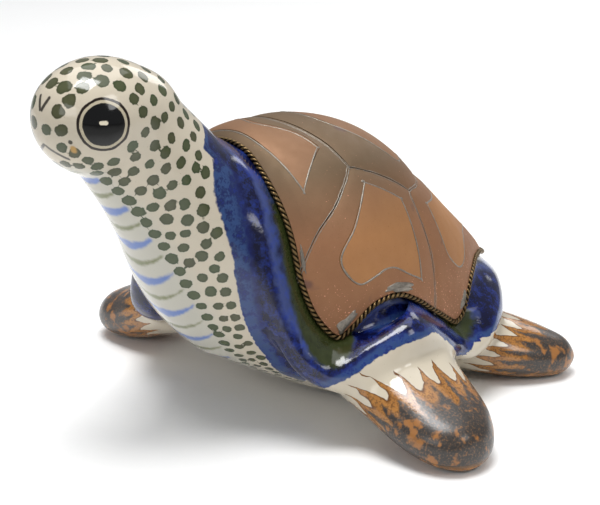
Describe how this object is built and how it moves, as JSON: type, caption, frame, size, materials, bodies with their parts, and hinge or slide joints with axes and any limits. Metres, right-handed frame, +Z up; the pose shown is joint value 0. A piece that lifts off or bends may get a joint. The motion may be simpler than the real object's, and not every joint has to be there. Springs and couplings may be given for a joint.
{
  "type": "ceramic turtle figure",
  "caption": "Free-standing glazed stoneware sea turtle figure with a soldered copper shell and a twisted wire edging.",
  "frame": {"origin": "middle of the bounding box, on the plane the figure stands on", "axes": "+Z up, -Y the way the head points, +X the turtle's left side"},
  "size_m": [0.2184, 0.2268, 0.151],
  "materials": {
    "glaze": "glossy cream glaze over stoneware with brushed green dots, cobalt blue collar and amber iron flippers",
    "dull_copper": null,
    "bright_copper": null,
    "brass_wire": "twisted brass wire, darkened in the twist and rubbed on the crests",
    "solder": "rough grey tin solder"
  },
  "bodies": {
    "root": {"ceramic_body": "glaze", "crown_inlay": "bright_copper", "crown_plate": "dull_copper", "left_flank_inlay": "bright_copper", "left_flank_plate": "dull_copper", "nape_inlay": "bright_copper", "nape_plate": "dull_copper", "right_flank_inlay": "bright_copper", "right_flank_plate": "dull_copper", "rope_edging": "brass_wire", "solder_chest_left": "solder", "solder_chest_right": "solder", "solder_flank_left": "solder", "solder_flank_right": "solder", "solder_hip_left": "solder", "solder_hip_right": "solder", "solder_shoulder_left": "solder", "solder_shoulder_right": "solder", "tail_inlay": "bright_copper", "tail_plate": "dull_copper"}
  },
  "joints": []
}
